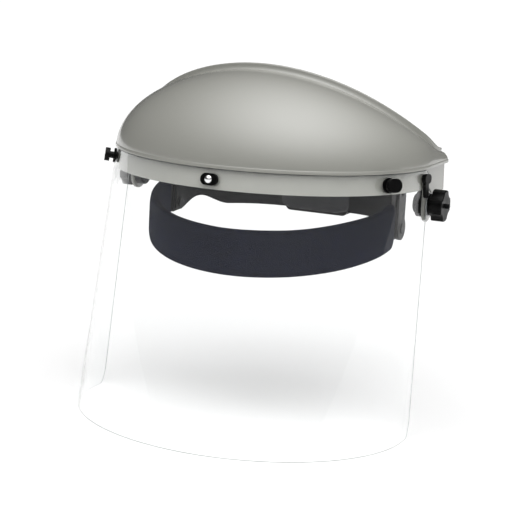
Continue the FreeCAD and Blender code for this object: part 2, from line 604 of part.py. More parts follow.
# ---- build -----------------------------------------------------------------------------------
def main():
    save("crown", crown())
    save("window", window())
    front_stud()
    turn_stud()
    rear_stud()
    pivot()
    arm()
    headband()
    straps()
    top_straps()
    ratchet()
    os.makedirs("parts", exist_ok=True)
    for name in sorted(SOLIDS):
        shape = SOLIDS[name].Solids[0]
        print(name, len(SOLIDS[name].Solids), shape.isValid(), round(shape.Volume / 1000.0, 2))
        shape.exportStep("parts/" + name + ".step")


main()
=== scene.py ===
"""Face shield in its finishes: glossy crown, clear window, fabric sweatband, moulded headgear.

Laid out as an add-on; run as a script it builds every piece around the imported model.
"""

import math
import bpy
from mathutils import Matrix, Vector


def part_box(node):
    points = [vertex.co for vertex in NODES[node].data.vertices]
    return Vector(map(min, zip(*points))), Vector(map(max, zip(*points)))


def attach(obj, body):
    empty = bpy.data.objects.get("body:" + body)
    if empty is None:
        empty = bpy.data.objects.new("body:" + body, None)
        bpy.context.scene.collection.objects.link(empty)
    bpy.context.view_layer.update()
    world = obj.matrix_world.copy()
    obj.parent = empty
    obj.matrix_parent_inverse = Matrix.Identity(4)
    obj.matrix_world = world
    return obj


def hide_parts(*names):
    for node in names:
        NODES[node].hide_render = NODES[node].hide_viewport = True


bl_info = {
    "name": "Face Shield",
    "version": (1, 0, 0),
    "blender": (4, 5, 0),
    "location": "3D View > Sidebar > Face Shield",
    "description": "Builds a face shield with crown, clear window and ratchet headgear",
    "category": "Add Mesh",
}

import bmesh
import bpy
import numpy as np
from mathutils import Matrix, Vector

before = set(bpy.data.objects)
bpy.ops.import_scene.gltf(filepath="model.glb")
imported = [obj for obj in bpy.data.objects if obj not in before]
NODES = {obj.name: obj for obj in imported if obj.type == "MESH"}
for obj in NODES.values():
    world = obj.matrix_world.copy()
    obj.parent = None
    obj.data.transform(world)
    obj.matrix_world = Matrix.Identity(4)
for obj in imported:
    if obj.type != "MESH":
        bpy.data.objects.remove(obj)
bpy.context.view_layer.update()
MM = 0.001


def middle(node):
    """Middle of a node's box."""
    low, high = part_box(node)
    return (Vector(low) + Vector(high)) / 2.0


PIVOT = middle("pivot_washer_left")               # the bolt's axis runs along X through here
SHIFT = PIVOT.y - 0.025                            # frame origin against the wall's own origin

# angles round the wall from the front, in degrees
SLOT_ANGLE, TURN_ANGLE, REAR_ANGLE = 43.5, 62.5, 84.0
NOTCH_ANGLES = (69.5, 75.0)
CUT_DEPTH = 0.012                                  # how long the bars are that cut the window's holes

ARCH_BACK, ARCH_DOWN = 0.86, 1.436                 # how fast the rear arch falls back and down from its top
DOME_ROUND = 1.68                                  # 2 gives the dome round sections, 1 gives straight ones
LIP_CURVE = ((0.24, 0.03), (0.36, 0.08), (0.46, 0.15), (0.55, 0.25), (0.62, 0.36), (0.69, 0.50),
             (0.74, 0.64), (0.79, 0.82), (0.82, 0.96))  # shares of the lip's height, back and up
BAND_DROP_START, BAND_DROP_END = 0.01, 0.09        # runs behind the window over which the band drops
EDGE_TURN = 0.6                                    # cut edges face out from the wall less than this
LIGHT_FROM = (0.16, -0.22, 0.96)                   # middle of the broad light


# ---- sizes and colours a user would change ------------------------------------------------------
def length(name, text, value, low=0.0):
    return bpy.props.FloatProperty(name=name, description=text, default=value, min=low,
                                   unit="LENGTH", subtype="DISTANCE")


def colour(name, text, value):
    return bpy.props.FloatVectorProperty(name=name, description=text, default=value, min=0.0, max=1.0,
                                         size=3, subtype="COLOR")


class WallSizes(bpy.types.PropertyGroup):
    """The leaning half ellipse that the window and the rim band follow."""
    height: length("Height", "Level of the crown's ledge", 0.203)
    top_width: length("Top half width", "Half width at the ledge", 0.126)
    top_depth: length("Top depth", "Depth of the half ellipse at the ledge", 0.113)
    top_middle: length("Top middle", "Where the half ellipse is widest at the ledge", 0.022 + SHIFT, -1.0)
    low_width: length("Lower half width", "Half width at the floor", 0.132)
    low_depth: length("Lower depth", "Depth of the half ellipse at the floor", 0.107)
    low_middle: length("Lower middle", "Where it is widest at the floor", -0.023 + SHIFT, -1.0)
    rear: length("Rear", "Rear end of the straight sides", 0.060 + SHIFT, -1.0)
    share: bpy.props.FloatProperty(name="Front share", description="Share of the run taken by the ellipse",
                                   default=0.78, min=0.5, max=0.95, subtype="FACTOR")


class CrownSizes(bpy.types.PropertyGroup):
    """The moulded crown."""
    skin: length("Skin", "Wall thickness", 0.0025)
    band: length("Rim band", "Level of the rim band's lower edge", 0.186)
    drop: length("Band drop", "How much lower the band is behind the window", 0.006)
    ledge: length("Ledge", "How far the ledge stands out", 0.0026)
    arch_width: length("Arch half width", "Half width of the rear arch", 0.124)
    arch_rear: length("Arch rear", "Rear ends of the arch", 0.054 + SHIFT, -1.0)
    arch_front: length("Arch front", "Top of the arch", -0.0192 + SHIFT, -1.0)
    arch_low: length("Arch low", "Height of the arch's ends", 0.2102)
    arch_high: length("Arch high", "Height of the arch's top", 0.2673)
    lip: length("Lip", "Height of the upturned lip", 0.0044)
    lip_end: bpy.props.FloatProperty(name="Lip end", description="Share of the lip left at the arch's ends",
                                     default=0.45, min=0.02, max=1.0, subtype="FACTOR")
    ear: length("Ear half width", "Half width of the ear and radius of its end", 0.0115)
    ear_drop: length("Ear drop", "How far the ear's round end lies below the pivot", 0.002)
    tone: colour("Crown", "Colour of the crown's plastic", (0.30, 0.30, 0.276))


class WindowSizes(bpy.types.PropertyGroup):
    """The clear window."""
    sheet: length("Sheet", "Thickness of the clear sheet", 0.0015)
    top: length("Top", "Upper edge of the window", 0.2006)
    rear_high: length("Upper rear edge", "Rear edge of the window at its top", 0.017 + SHIFT, -1.0)
    rear_low: length("Lower rear edge", "Rear edge of the window at the floor", -0.010 + SHIFT, -1.0)
    corner_y: length("Corner depth", "Rounded lower corner along Y", 0.006)
    corner_z: length("Corner height", "Rounded lower corner along Z", 0.015)
    corner_top: length("Upper corner", "Radius of the upper rear corner", 0.006)
    stud: length("Stud level", "Height of the studs and slots", 0.193)
    rear_stud: length("Rear stud level", "Height of the studs at the rear edge", 0.1945)
    tint: colour("Tint", "Colour of the clear sheet", (0.985, 0.99, 0.99))


class HeadgearSizes(bpy.types.PropertyGroup):
    """The headgear's soft pieces."""
    width: length("Half width", "Half width of the headband strip", 0.097)
    front: length("Front", "Front of the headband strip", -0.0655 + SHIFT, -1.0)
    side: length("Side", "Where the straight sides start", 0.024 + SHIFT, -1.0)
    pad_end: length("Pad end", "Rear ends of the sweatband", 0.028 + SHIFT, -1.0)
    pad_out: length("Pad outside", "Sweatband's thickness outside the strip", 0.004)
    pad_in: length("Pad inside", "Sweatband's thickness inside the strip", 0.006)
    pad_height: length("Pad height", "Height of the sweatband", 0.038)
    level: length("Level", "Height of the ring at the sides", 0.153)
    slope: bpy.props.FloatProperty(name="Slope", description="Fall of the ring to the front", default=0.19)
    cloth: colour("Sweatband", "Colour of the sweatband's fabric", (0.0028, 0.0038, 0.0110))
    foam: colour("Nape pad", "Colour of the nape pad", (0.012, 0.012, 0.014))


class MouldedTones(bpy.types.PropertyGroup):
    """Colours of the moulded and metal pieces."""
    black: colour("Black plastic", "Knobs, studs and ratchet", (0.004, 0.004, 0.004))
    strap: colour("Strap plastic", "Headband, straps and arms", (0.006, 0.006, 0.007))
    zinc: colour("Zinc", "Washers and the push nut", (0.55, 0.56, 0.58))
    chrome: colour("Chrome", "Ball of the front stud", (0.82, 0.82, 0.83))


class StageSizes(bpy.types.PropertyGroup):
    """Camera, floor and light."""
    key: bpy.props.FloatProperty(name="Key", description="Strength of the broad light", default=3.3)
    focus: bpy.props.FloatProperty(name="Focus", description="How narrow the broad light is", default=4.0)
    fill: bpy.props.FloatProperty(name="Fill", description="Light from everywhere", default=0.08)
    turn: bpy.props.FloatProperty(name="Turn", description="Camera's angle round the shield",
                                  default=math.radians(23.96), subtype="ANGLE")
    rise: bpy.props.FloatProperty(name="Rise", description="Camera's angle above the horizon",
                                  default=math.radians(11.81), subtype="ANGLE")
    roll: bpy.props.FloatProperty(name="Roll", description="Camera's roll", default=math.radians(2.64),
                                  subtype="ANGLE")
    away: length("Distance", "Camera's distance from the shield", 1.145)
    aim: length("Aim", "Height the camera looks at", 0.1181)
    lens: bpy.props.FloatProperty(name="Lens", description="Focal length in millimetres", default=101.3)
    reach: length("Floor radius", "Radius of the floor", 30.0)
    floor: colour("Floor", "Colour of the floor", (0.8, 0.8, 0.8))


# ---- shapes shared by several pieces --------------------------------------------------------------
def plan(w, z):
    """Half width, depth and middle of the wall's half ellipse at height Z."""
    k = z / w.height
    return (w.low_width + (w.top_width - w.low_width) * k, w.low_depth + (w.top_depth - w.low_depth) * k,
            w.low_middle + (w.top_middle - w.low_middle) * k)


def wall(run, z, off=0.0):
    """Point of the wall at RUN (-1 to 1) and height Z, OFF outside it."""
    w = bpy.context.scene.shield_wall
    a, b, mid = plan(w, z)
    if abs(run) <= w.share:
        t = run / w.share * math.pi / 2.0
        x, y = a * math.sin(t), mid - b * math.cos(t)
        n = Vector((x / a ** 2, (y - mid) / b ** 2, 0.0)).normalized()
    else:
        side = math.copysign(1.0, run)
        x, y = side * a, mid + (abs(run) - w.share) / (1.0 - w.share) * (w.rear - mid)
        n = Vector((side, 0.0, 0.0))
    return Vector((x, y, z)) + n * off


def ramp(value, start, end):
    """0 up to START, 1 from END, with a smooth rise between."""
    t = min(max((value - start) / (end - start), 0.0), 1.0)
    return t * t * (3.0 - 2.0 * t)


def wall_axes(degrees, z):
    """Place and outward facing turn of a stud at an angle round the wall."""
    run = degrees / 90.0 * bpy.context.scene.shield_wall.share
    along = wall(run + 0.01, z) - wall(run - 0.01, z)
    up = wall(run, z + MM) - wall(run, z - MM)
    out = along.cross(up).normalized()
    side = along.normalized()
    turn = Matrix((side, out.cross(side) * -1.0, out)).transposed().to_4x4()
    return Matrix.Translation(wall(run, z)) @ turn


def wall_out(p):
    """Outward direction of the wall level with point P."""
    a, b, mid = plan(bpy.context.scene.shield_wall, p.z)
    return Vector((p.x / a ** 2, min(p.y - mid, 0.0) / b ** 2, 0.0)).normalized()


def run_at(y, z):
    """The run whose wall point at height Z lies at depth Y, on the left side."""
    low, high = 0.0, 1.0
    for _ in range(40):
        mid = (low + high) / 2.0
        if wall(mid, z).y < y:
            low = mid
        else:
            high = mid
    return low


def grid_faces(rows, columns, closed=False):
    """Quads between ROWS rows of COLUMNS points each; closed joins each row's ends."""
    faces = []
    last = columns if closed else columns - 1
    for i in range(rows - 1):
        for j in range(last):
            k = (j + 1) % columns
            faces.append((i * columns + j, i * columns + k, (i + 1) * columns + k, (i + 1) * columns + j))
    return faces


def solid_from_loops(name, loops):
    """A closed mesh through a row of closed loops, with a face on each end."""
    count = len(loops[0])
    points = [tuple(p) for loop in loops for p in loop]
    faces = grid_faces(len(loops), count, closed=True)
    faces.append(tuple(range(count))[::-1])
    faces.append(tuple(range((len(loops) - 1) * count, len(loops) * count)))
    return new_mesh(name, points, faces)


def new_mesh(name, points, faces):
    """A linked object of these points and faces, with its normals outward."""
    mesh = bpy.data.meshes.new(name)
    mesh.from_pydata(points, [], faces)
    bm = bmesh.new()
    bm.from_mesh(mesh)
    bmesh.ops.recalc_face_normals(bm, faces=bm.faces)
    bm.to_mesh(mesh)
    bm.free()
    obj = bpy.data.objects.new(name, mesh)
    bpy.context.scene.collection.objects.link(obj)
    return obj


def smooth(obj, degrees):
    """Shades smooth, with edges over DEGREES kept sharp."""
    obj.data.shade_smooth()
    obj.data.set_sharp_from_angle(angle=math.radians(degrees))


def apply_modifiers(obj):
    """Replaces the object's mesh by the one its modifiers give."""
    graph = bpy.context.evaluated_depsgraph_get()
    mesh = bpy.data.meshes.new_from_object(obj.evaluated_get(graph))
    obj.modifiers.clear()
    old = obj.data
    obj.data = mesh
    bpy.data.meshes.remove(old)


def bar(width, height, depth, quarter=12):
    """A rounded oblong bar along Z, centred at the origin, as a bmesh."""
    bm = bmesh.new()
    r = min(width, height) / 2.0
    dx, dy = width / 2.0 - r, height / 2.0 - r
    ring = []
    for i in range(quarter * 4):
        a = 2.0 * math.pi * i / (quarter * 4)
        c, s = math.cos(a), math.sin(a)
        ring.append((r * c + math.copysign(dx, c), r * s + math.copysign(dy, s)))
    low = [bm.verts.new((x, y, -depth / 2.0)) for x, y in ring]
    high = [bm.verts.new((x, y, depth / 2.0)) for x, y in ring]
    bm.faces.new(low[::-1])
    bm.faces.new(high)
    for i in range(len(ring)):
        j = (i + 1) % len(ring)
        bm.faces.new((low[i], low[j], high[j], high[i]))
    return bm


def cut(obj, holes):
    """Cuts (matrix, width, height, depth) bars out of a closed mesh."""
    bm = bmesh.new()
    for matrix, width, height, depth in holes:
        part = bar(width, height, depth)
        part.transform(matrix)
        mesh = bpy.data.meshes.new("cutter")
        part.to_mesh(mesh)
        part.free()
        bm.from_mesh(mesh)
        bpy.data.meshes.remove(mesh)
    mesh = bpy.data.meshes.new("cutters")
    bm.to_mesh(mesh)
    bm.free()
    cutter = bpy.data.objects.new("cutters", mesh)
    bpy.context.scene.collection.objects.link(cutter)
    mod = obj.modifiers.new("holes", "BOOLEAN")
    mod.operation, mod.solver, mod.object = "DIFFERENCE", "EXACT", cutter
    apply_modifiers(obj)
    bpy.data.objects.remove(cutter)
    bpy.data.meshes.remove(mesh)


# ---- finishes -------------------------------------------------------------------------------------
class Finish:
    """A material being put together from nodes around one principled shader."""

    def __init__(self, name, **sockets):
        self.material = bpy.data.materials.new(name)
        self.material.use_nodes = True
        self.tree = self.material.node_tree
        self.shader = self.tree.nodes["Principled BSDF"]
        self.bumps = None
        for key, value in sockets.items():
            self.shader.inputs[key.replace("_", " ")].default_value = value
        self.place = self.node("ShaderNodeTexCoord").outputs["Object"]

    def node(self, kind, **settings):
        node = self.tree.nodes.new(kind)
        for key, value in settings.items():
            setattr(node, key, value)
        return node

    def link(self, source, target):
        self.tree.links.new(source, target)

    def noise(self, scale, detail=3.0, stretch=(1.0, 1.0, 1.0)):
        spread = self.node("ShaderNodeMapping")
        spread.inputs["Scale"].default_value = stretch
        self.link(self.place, spread.inputs["Vector"])
        noise = self.node("ShaderNodeTexNoise")
        noise.inputs["Scale"].default_value = scale
        noise.inputs["Detail"].default_value = detail
        noise.inputs["Roughness"].default_value = 0.55
        self.link(spread.outputs["Vector"], noise.inputs["Vector"])
        return noise.outputs["Fac"]

    def cells(self, scale):
        cells = self.node("ShaderNodeTexVoronoi")
        cells.inputs["Scale"].default_value = scale
        self.link(self.place, cells.inputs["Vector"])
        return cells.outputs["Distance"]

    def spread(self, source, low, high, start=0.3, end=0.7):
        """Maps a pattern to a range of numbers."""
        node = self.node("ShaderNodeMapRange")
        for i, value in enumerate((start, end, low, high)):
            node.inputs[i + 1].default_value = value
        self.link(source, node.inputs[0])
        return node.outputs[0]

    def shades(self, source, first, second):
        """Mixes two colours by a pattern and gives the result."""
        mix = self.node("ShaderNodeMix", data_type="RGBA")
        self.link(source, mix.inputs[0])
        for i, value in ((6, first), (7, second)):
            if isinstance(value, (tuple, list)):
                mix.inputs[i].default_value = tuple(value) + (1.0,)
            else:
                self.link(value, mix.inputs[i])
        return mix.outputs[2]

    def edges(self, width):
        """Painted highlight mask: bright where the surface is an outer edge."""
        geometry = self.node("ShaderNodeNewGeometry")
        return self.spread(geometry.outputs["Pointiness"], 0.0, 1.0, 0.5 + width, 0.5 + width * 3.0)

    def bump(self, height, strength, depth):
        bump = self.node("ShaderNodeBump")
        bump.inputs["Strength"].default_value = strength
        bump.inputs["Distance"].default_value = depth
        self.link(height, bump.inputs["Height"])
        if self.bumps:
            self.link(self.bumps, bump.inputs["Normal"])
        self.bumps = bump.outputs["Normal"]
        self.link(self.bumps, self.shader.inputs["Normal"])

    def to(self, source, socket):
        self.link(source, self.shader.inputs[socket])

    def on(self, *objects):
        for obj in objects:
            obj.data.materials.clear()
            obj.data.materials.append(self.material)


def lighter(tone, factor):
    """The colour multiplied by FACTOR, which may also darken it."""
    return tuple(min(1.0, c * factor) for c in tone)


def moulded(name, tone, rough, grain=900.0, depth=0.00006, coat=0.0):
    """Moulded plastic: fine spark-eroded grain and slight flow marks."""
    f = Finish(name, Coat_Weight=coat, Coat_Roughness=0.12, Specular_IOR_Level=0.12)
    clouds = f.noise(45.0, 4.0)
    f.to(f.shades(f.spread(clouds, 0.0, 1.0), tone, lighter(tone, 1.35)), "Base Color")
    f.to(f.spread(f.noise(160.0, 3.0), rough - 0.06, rough + 0.08), "Roughness")
    f.bump(f.noise(grain, 2.0), 0.35, depth)
    return f


def mate(obj, body, slot, *nodes):
    """Rides a built piece on its body in place of its CAD nodes."""
    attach(obj, body)
    if nodes:
        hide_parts(*nodes)


# ---- crown ----------------------------------------------------------------------------------------
def arch(run, c):
    """Point of the dome's rear arch at RUN."""
    t = run * math.pi / 2.0
    h = max(math.cos(t), 0.0)
    return Vector((c.arch_width * math.sin(t), c.arch_rear + (c.arch_front - c.arch_rear) * h ** ARCH_BACK,
                   c.arch_low + (c.arch_high - c.arch_low) * h ** ARCH_DOWN))


def dome_line(run, c, rows=34):
    """Points up one section of the dome and out to the tip of its lip."""
    top_level = bpy.context.scene.shield_wall.height
    foot, top = wall(run, top_level, c.ledge - 0.4 * MM), arch(run, c)
    line = []
    for i in range(rows + 1):
        v = math.pi / 2.0 * i / rows
        near = 1.0 - max(math.cos(v), 0.0) ** (2.0 / DOME_ROUND)
        rise = math.sin(v) ** (2.0 / DOME_ROUND)
        line.append(Vector((foot.x + (top.x - foot.x) * near, foot.y + (top.y - foot.y) * near,
                            foot.z + (top.z - foot.z) * rise)))
    lip = c.lip * (1.0 - (1.0 - c.lip_end) * ramp(abs(run), 0.8, 1.0))
    for back, up in LIP_CURVE:
        line.append(top + Vector((0.0, back * lip * 0.8, up * lip)))
    return line


def band_low(run, c):
    """Level of the rim band's lower edge, which drops behind the window."""
    share = bpy.context.scene.shield_wall.share
    return c.band - c.drop * ramp(abs(run), share + BAND_DROP_START, share + BAND_DROP_END)


class SHIELD_OT_crown(bpy.types.Operator):
    """Build the moulded crown with its ledge, rim band, ears and rear lip"""
    bl_idname = "shield.crown"
    bl_label = "Crown"

    def execute(self, context):
        c, level = context.scene.shield_crown, context.scene.shield_wall.height
        runs = [-1.0 + 2.0 * i / 180 for i in range(181)]
        skins = [dome_line(run, c) for run in runs]
        loops = []
        for i, run in enumerate(runs):
            before, after = skins[max(i - 1, 0)], skins[min(i + 1, len(runs) - 1)]
            loops.append(self.section(run, skins[i], before, after, c, level))
        shell = solid_from_loops("crown_shell", loops)
        self.ears(shell, c)
        smooth(shell, 40.0)
        self.gloss(tuple(c.tone)).on(shell)
        mate(shell, "visor", "crown_plastic", "crown")
        return {"FINISHED"}

    def gloss(self, tone):
        """Glossy moulded plastic with faint clouding and specks, and a painted highlight on its outer edges.
        """
        finish = Finish("crown_gloss", Roughness=0.22, Specular_IOR_Level=0.5, Coat_Weight=0.6,
                        Coat_Roughness=0.07, IOR=1.5)
        clouds = finish.spread(finish.noise(6.0, 2.0), 0.0, 1.0, 0.2, 0.8)
        base = finish.shades(clouds, lighter(tone, 0.985), lighter(tone, 1.015))
        specks = finish.spread(finish.noise(1500.0, 1.0), 0.0, 0.06, 0.62, 0.75)
        base = finish.shades(specks, base, lighter(tone, 0.7))
        # outer edges painted lighter than the tone: a painted edge highlight
        finish.to(finish.shades(finish.edges(0.05), base, lighter(tone, 1.08)), "Base Color")
        finish.to(finish.spread(finish.noise(25.0, 2.0), 0.22, 0.28, 0.2, 0.8), "Roughness")
        finish.bump(finish.noise(60.0, 1.0), 0.03, 0.0006)
        finish.bump(finish.noise(2200.0, 1.0), 0.06, 0.00004)
        return finish

    def section(self, run, skin, before, after, c, level):
        """One closed section: rim band, ledge, dome, lip and lining, in that order."""
        low, out = band_low(run, c), c.ledge
        normals = []
        for j in range(len(skin)):
            up = skin[min(j + 1, len(skin) - 1)] - skin[max(j - 1, 0)]
            normals.append((after[j] - before[j]).cross(up).normalized())
        rim = [(-2.5 * MM, low), (-0.8 * MM, low), (-0.5 * MM, low + 0.3 * MM)]
        rim += [(-0.5 * MM, low + (level - 2.1 * MM - low) * k) for k in (0.25, 0.5, 0.75, 1.0)]
        rim += [(0.8 * MM, level - 1.8 * MM), (out - 0.4 * MM, level - 1.8 * MM),
                (out - 0.1 * MM, level - 1.65 * MM), (out, level - 1.3 * MM), (out, level + 0.4 * MM),
                (out - 0.1 * MM, level + 0.7 * MM), (out - 0.3 * MM, level + 0.85 * MM)]
        rim = [wall(run, z, off) for off, z in rim]
        foot = wall(run, level + 0.9 * MM, out - 0.5 * MM)
        body = [p if p.z > foot.z else foot.copy() for p in skin[1:]]
        up = (skin[-1] - skin[-2]).normalized()
        tip = [skin[-1] + up * (0.9 * MM * math.sin(a)) - normals[-1] * (c.skin / 2.0) * (1 - math.cos(a))
               for a in (0.5, 1.0, 1.57, 2.14, 2.64)]
        inner = wall(run, level + 1.2 * MM, out - 0.4 * MM - c.skin)
        lining = [p - n * c.skin for p, n in zip(skin, normals)][:0:-1]
        lining = [p if p.z > inner.z else inner.copy() for p in lining]
        tail = [wall(run, z, off) for off, z in ((-3.1 * MM, level + 1.0 * MM), (-3.1 * MM, level - 1.6 * MM),
                                                 (-2.8 * MM, level - 2.0 * MM), (-2.8 * MM, low + 0.3 * MM))]
        return rim + body + tip + lining + tail

    def ears(self, shell, c):
        """Plates under the band at the pivots, with rounded edges."""
        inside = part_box("friction_washer_left")[1][0]
        levels = ((0.0, 0.4 * MM), (0.15 * MM, 0.1 * MM), (0.5 * MM, 0.0), (c.skin - 0.5 * MM, 0.0),
                  (c.skin - 0.15 * MM, 0.1 * MM), (c.skin, 0.4 * MM))
        bm = bmesh.new()
        bm.from_mesh(shell.data)
        for side in (1.0, -1.0):
            stack = []
            for out, inset in levels:
                r = c.ear - inset
                ring = [(r * math.cos(math.pi + math.pi * i / 24), r * math.sin(math.pi + math.pi * i / 24))
                        for i in range(25)]
                ring += [(r, c.band + 9.0 * MM - PIVOT.z), (-r, c.band + 9.0 * MM - PIVOT.z)]
                stack.append([bm.verts.new((side * (inside + out), PIVOT.y + y, PIVOT.z - c.ear_drop + z))
                              for y, z in ring])
            faces = []
            for a, b in zip(stack, stack[1:]):
                for i in range(len(a)):
                    j = (i + 1) % len(a)
                    faces.append(bm.faces.new((a[i], a[j], b[j], b[i])))
            faces.append(bm.faces.new(stack[0][::-1]))
            faces.append(bm.faces.new(stack[-1]))
            bmesh.ops.recalc_face_normals(bm, faces=faces)
        bm.to_mesh(shell.data)
        bm.free()


# ---- window ---------------------------------------------------------------------------------------
class SHIELD_OT_window(bpy.types.Operator):
    """Build the clear bent window with its slots and rounded corners"""
    bl_idname = "shield.window"
    bl_label = "Window"

    def execute(self, context):
        w = context.scene.shield_window
        sheet = self.plain_sheet(w)
        cut(sheet, self.holes(w))
        smooth(sheet, 30.0)
        f = Finish("window_clear", Transmission_Weight=1.0, IOR=1.45, Specular_IOR_Level=0.22,
                   Base_Color=tuple(w.tint) + (1.0,))
        f.to(f.spread(f.noise(14.0, 5.0), 0.0, 0.035, 0.45, 0.8), "Roughness")
        f.bump(f.noise(7.0, 1.0), 0.04, 0.0008)
        f.on(sheet)
        self.cut_edges(sheet)
        sheet.visible_shadow = False
        mate(sheet, "visor", "window_clear", "window")
        return {"FINISHED"}

    def rear_edge(self, w):
        """(depth, level) up the sheet's rear edge: lower corner, slanted edge, upper corner."""
        slant, r = (w.rear_high - w.rear_low) / w.top, w.corner_top
        edge = []
        for i in range(21):
            a = math.pi / 2.0 * (i / 20.0) ** 1.2
            z = w.corner_z * (1.0 - math.cos(a))
            edge.append((w.rear_low - w.corner_y * (1.0 - math.sin(a)) + slant * z, z))
        straight = [w.corner_z + (w.top - r - w.corner_z) * k / 36.0 for k in range(1, 37)]
        edge += [(w.rear_low + slant * z, z) for z in straight]
        for i in range(1, 9):
            a = math.pi / 2.0 * i / 8
            edge.append((w.rear_high - slant * r - (1.0 - slant) * r * (1.0 - math.cos(a)),
                         w.top - r + r * math.sin(a)))
        return edge

    def plain_sheet(self, w, columns=221):
        """The bent sheet before its holes: an outer and an inner face joined round the rim."""
        edge = self.rear_edge(w)
        rows = len(edge)
        points, faces = [], []
        for off in (w.sheet, 0.0):
            for depth, z in edge:
                reach = run_at(depth, z)
                points += [wall(-reach + 2.0 * reach * j / (columns - 1), z, off) for j in range(columns)]
        count = rows * columns
        faces += grid_faces(rows, columns)
        faces += [tuple(i + count for i in f[::-1]) for f in grid_faces(rows, columns)]
        rim = [j for j in range(columns)]
        rim += [i * columns + columns - 1 for i in range(1, rows)]
        rim += [(rows - 1) * columns + j for j in range(columns - 2, -1, -1)]
        rim += [i * columns for i in range(rows - 2, 0, -1)]
        for a, b in zip(rim, rim[1:] + rim[:1]):
            faces.append((a, b, b + count, a + count))
        return new_mesh("window_sheet", [tuple(p) for p in points], faces)

    def holes(self, w):
        """Front stud hole, then on each side the slot, the turn-lock slot, the rear hole and two notches."""
        holes = [(wall_axes(0.0, w.stud), 4.6 * MM, 4.6 * MM, CUT_DEPTH)]
        for side in (-1.0, 1.0):
            holes.append((wall_axes(side * SLOT_ANGLE, w.stud), 19.0 * MM, 8.0 * MM, CUT_DEPTH))
            holes.append((wall_axes(side * TURN_ANGLE, w.stud), 15.0 * MM, 6.4 * MM, CUT_DEPTH))
            holes.append((wall_axes(side * REAR_ANGLE, w.rear_stud), 4.8 * MM, 4.8 * MM, CUT_DEPTH))
            for degrees in NOTCH_ANGLES:
                holes.append((wall_axes(side * degrees, w.stud), 3.0 * MM, 8.0 * MM, CUT_DEPTH))
        return holes

    def cut_edges(self, sheet):
        """Gives the sheet's cut edges and the walls of its holes a frosted finish; their dark grey colour is
        painted shade for the dark lines that clear edges show.
        """
        f = Finish("window_cut_edge", Transmission_Weight=0.35, IOR=1.45)
        grain = f.spread(f.noise(700.0), 0.0, 1.0)
        # dark grey base colour: painted shade standing in for the dark lines of the clear sheet's edges
        f.to(f.shades(grain, (0.20, 0.22, 0.23), (0.32, 0.34, 0.35)), "Base Color")
        f.to(f.spread(f.noise(900.0), 0.35, 0.6), "Roughness")
        sheet.data.materials.append(f.material)
        for face in sheet.data.polygons:
            if abs(face.normal.dot(wall_out(face.center))) < EDGE_TURN:
                face.material_index = 1


# ---- studs, bolts and knobs -------------------------------------------------------------------------
class SHIELD_OT_fittings(bpy.types.Operator):
    """Finish the studs, bolts, washers and tension knobs"""
    bl_idname = "shield.fittings"
    bl_label = "Studs, bolts and knobs"

    def execute(self, context):
        tones = context.scene.shield_tones
        black = moulded("black_moulded", tuple(tones.black), 0.33, coat=0.1)
        zinc = Finish("zinc_plate", Metallic=1.0)
        zinc.to(zinc.shades(zinc.spread(zinc.noise(220.0, 4.0), 0.0, 1.0), tuple(tones.zinc),
                            lighter(tuple(tones.zinc), 0.72)), "Base Color")
        zinc.to(zinc.spread(zinc.noise(500.0, 3.0), 0.25, 0.42), "Roughness")
        zinc.bump(zinc.noise(900.0, 2.0, stretch=(1.0, 6.0, 6.0)), 0.2, 0.00004)
        chrome = Finish("chrome_ball", Metallic=1.0)
        chrome.to(chrome.shades(chrome.spread(chrome.noise(300.0), 0.0, 1.0), tuple(tones.chrome),
                                lighter(tuple(tones.chrome), 0.92)), "Base Color")
        chrome.to(chrome.spread(chrome.noise(400.0), 0.05, 0.12), "Roughness")
        nylon = moulded("nylon_washer", (0.014, 0.014, 0.015), 0.5)
        for stem in ("turn_stud", "rear_stud", "tension_knob"):
            black.on(NODES[stem + "_left"], NODES[stem + "_right"])
        black.on(NODES["front_ring"])
        oxide = moulded("black_oxide", (0.01, 0.01, 0.011), 0.3)
        for stem in ("turn_washer", "rear_washer", "pivot_washer"):
            zinc.on(NODES[stem + "_left"], NODES[stem + "_right"])
        for stem in ("pivot_bolt", "side_rivet"):
            oxide.on(NODES[stem + "_left"], NODES[stem + "_right"])
        zinc.on(NODES["front_nut"])
        chrome.on(NODES["front_stud"])
        nylon.on(NODES["friction_washer_left"], NODES["friction_washer_right"])
        return {"FINISHED"}


# ---- headgear ---------------------------------------------------------------------------------------
class SHIELD_OT_headgear(bpy.types.Operator):
    """Finish the headband, straps, pivot arms and ratchet"""
    bl_idname = "shield.headgear"
    bl_label = "Headband, straps and ratchet"

    def execute(self, context):
        tones = context.scene.shield_tones
        strap = moulded("strap_plastic", tuple(tones.strap), 0.38, grain=700.0, depth=0.00005)
        black = moulded("ratchet_plastic", tuple(tones.black), 0.4)
        for stem in ("pivot_arm", "rear_strap", "top_strap"):
            strap.on(NODES[stem + "_left"], NODES[stem + "_right"])
        strap.on(NODES["headband"])
        black.on(*[NODES[n] for n in ("ratchet_case", "ratchet_cover", "ratchet_dial", "pinion", "top_peg")])
        return {"FINISHED"}


def band_line(u, off):
    """Point of the headband's front half in plan, U from -1 to 1 over the sweatband's reach."""
    h = bpy.context.scene.shield_headgear
    straight = h.pad_end - h.side
    arc = 0.5 * math.pi * math.sqrt((h.width ** 2 + (h.side - h.front) ** 2) / 2.0)
    turn = arc / (arc + straight)
    if abs(u) <= turn:
        t = u / turn * math.pi / 2.0
        a, b = h.width, h.side - h.front
        x, y = a * math.sin(t), h.side - b * math.cos(t)
        n = Vector((x / a ** 2, (y - h.side) / b ** 2, 0.0)).normalized()
    else:
        side = math.copysign(1.0, u)
        x, y = side * h.width, h.side + (abs(u) - turn) / (1.0 - turn) * straight
        n = Vector((side, 0.0, 0.0))
    z = h.level + h.slope * min(y - h.side, 0.0)
    return Vector((x, y, z)) + n * off, n


